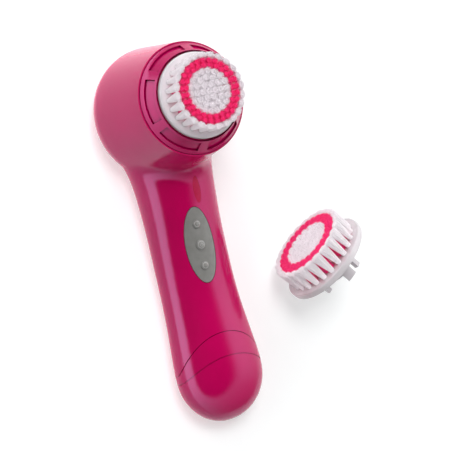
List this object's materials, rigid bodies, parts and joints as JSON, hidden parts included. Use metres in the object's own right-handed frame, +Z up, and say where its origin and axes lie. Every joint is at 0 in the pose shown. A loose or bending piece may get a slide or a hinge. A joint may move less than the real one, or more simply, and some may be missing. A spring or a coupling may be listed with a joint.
{
  "type": "facial cleansing brush",
  "caption": "Handheld facial cleansing brush with a round rotating tufted head on a long oval grip with three buttons, lying on its back beside a larger second brush head.",
  "frame": {"origin": "on the table under the brush spindle's axis, on the flat back of the head", "axes": "+Z up through the spindle and out of the bristles; +Y from the grip to the head, so the grip runs along -Y; +X to the side where the spare head lies"},
  "size_m": [0.1134, 0.1791, 0.0695],
  "materials": {
    "magenta_shell": "glossy magenta",
    "collar_pink": "glossy hot pink",
    "pad_grey": "satin grey",
    "button_grey": "satin light grey",
    "lens_red": "dark crimson, translucent",
    "white_plastic": "glossy white",
    "white_bristle": "white nylon bristle",
    "pink_bristle": "pink nylon bristle",
    "inner_plastic": "natural moulded plastic",
    "steel": "turned steel",
    "gear_plastic": "acetal",
    "motor_steel": "zinc plated",
    "bronze": "sintered bronze",
    "seal_rubber": "black rubber",
    "board_green": "circuit board",
    "switch_black": "black",
    "led_clear": "clear",
    "cell_wrap": "plain shrink wrap",
    "copper": "enamelled wire"
  },
  "bodies": {
    "casing": {"handle_shell": "magenta_shell", "base_cap": "magenta_shell", "head_collar": "collar_pink", "control_pad": "pad_grey", "indicator_lens": "lens_red", "gearbox_housing": "inner_plastic", "gearbox_cover": "inner_plastic", "rear_bearing": "bronze", "front_bearing": "bronze", "shaft_seal": "seal_rubber", "collar_gasket": "seal_rubber", "cap_seal": "seal_rubber", "housing_screws": "steel", "cover_screws": "steel", "deck_screws": "steel", "chassis": "inner_plastic", "circuit_board": "board_green", "tactile_switches": "switch_black", "indicator_led": "led_clear", "battery_cell": "cell_wrap", "cell_contacts": "steel", "coil_bobbin": "inner_plastic", "charging_coil": "copper", "idler_pin": "steel", "motor": "motor_steel"},
    "drive": {"drive_hub": "inner_plastic", "spindle": "steel", "drive_gear": "gear_plastic"},
    "brush_head": {"brush_disc": "white_plastic", "outer_tufts": "white_bristle", "pink_tufts": "pink_bristle", "inner_tufts": "white_bristle"},
    "idler": {"idler_gear": "gear_plastic"},
    "motor_rotor": {"motor_shaft": "steel", "motor_pinion": "gear_plastic"},
    "up_button": {"button_up": "button_grey"},
    "power_button": {"button_power": "button_grey"},
    "down_button": {"button_down": "button_grey"},
    "spare_head": {"spare_disc": "white_plastic", "spare_outer_tufts": "white_bristle", "spare_pink_tufts": "pink_bristle", "spare_inner_tufts": "white_bristle"}
  },
  "joints": [
    {"name": "brush_spin", "type": "hinge", "parent": "casing", "child": "drive", "pos_m": [0, 0, 0.05], "axis": [0, 0, 1], "continuous": true},
    {"name": "idler_spin", "type": "hinge", "parent": "casing", "child": "idler", "pos_m": [0, 0.0125, 0.034], "axis": [0, 0, 1], "continuous": true},
    {"name": "motor_spin", "type": "hinge", "parent": "casing", "child": "motor_rotor", "pos_m": [0.00812, 0.00584, 0.03], "axis": [0, 0, 1], "continuous": true},
    {"name": "brush_head_pull", "type": "slide", "parent": "drive", "child": "brush_head", "axis": [0, 0, 1], "range_m": [0, 0.025]},
    {"name": "button_up_press", "type": "slide", "parent": "casing", "child": "up_button", "axis": [0, 0, -1], "range_m": [0, 0.0004], "stiffness_N_per_m": 300, "springref_m": -0.0006},
    {"name": "button_power_press", "type": "slide", "parent": "casing", "child": "power_button", "axis": [0, 0, -1], "range_m": [0, 0.0004], "stiffness_N_per_m": 300, "springref_m": -0.0006},
    {"name": "button_down_press", "type": "slide", "parent": "casing", "child": "down_button", "axis": [0, 0, -1], "range_m": [0, 0.0004], "stiffness_N_per_m": 300, "springref_m": -0.0006},
    {"name": "spare_head_lift", "type": "slide", "parent": "casing", "child": "spare_head", "axis": [0, 0, 1], "range_m": [0, 0.04]}
  ],
  "couplings": [
    {"joint": "idler_spin", "follows": "brush_spin", "ratio": -2.5714},
    {"joint": "motor_spin", "follows": "brush_spin", "ratio": 5.1429}
  ]
}
